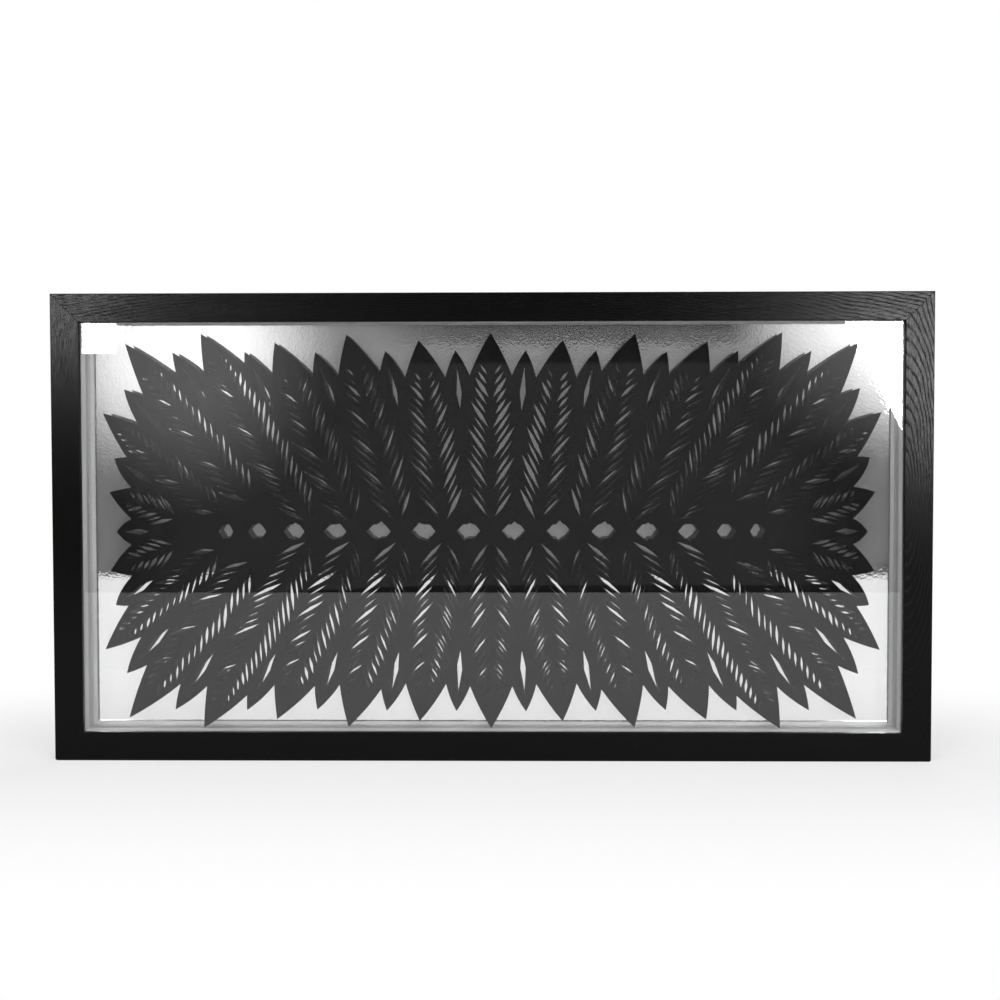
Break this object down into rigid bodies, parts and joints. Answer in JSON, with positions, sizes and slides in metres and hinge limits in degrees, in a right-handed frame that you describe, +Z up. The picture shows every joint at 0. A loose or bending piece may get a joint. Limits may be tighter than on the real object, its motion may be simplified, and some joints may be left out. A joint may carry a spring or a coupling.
{
  "type": "framed paper art",
  "caption": "Wide black box frame with glass over a floated sheet of cut black paper on a silver board, to stand on its bottom rail or hang by keyhole plates.",
  "frame": {"origin": "under the middle of the bottom rail, on the surface the frame stands on", "axes": "+X along the width to the viewer's right, +Y from the glass to the back, +Z up"},
  "size_m": [0.915, 0.04, 0.488],
  "materials": {
    "black_ash": "satin",
    "glass": "polished",
    "black_paper": "matte",
    "black_foam": "matte",
    "silver_board": "satin",
    "spacer_board": "matte",
    "hardboard": "matte",
    "steel": "satin"
  },
  "bodies": {
    "root": {"backing_board": "hardboard", "bottom_rail": "black_ash", "corner_v_nails": "steel", "cut_paper": "black_paper", "framer_points": "steel", "front_spacer_bottom": "spacer_board", "front_spacer_left": "spacer_board", "front_spacer_right": "spacer_board", "front_spacer_top": "spacer_board", "glass": "glass", "hanger_screws": "steel", "left_hanger": "steel", "left_rail": "black_ash", "paper_lifts": "black_foam", "rear_spacer_bottom": "spacer_board", "rear_spacer_left": "spacer_board", "rear_spacer_right": "spacer_board", "rear_spacer_top": "spacer_board", "right_hanger": "steel", "right_rail": "black_ash", "silver_board": "silver_board", "top_rail": "black_ash"}
  },
  "joints": []
}
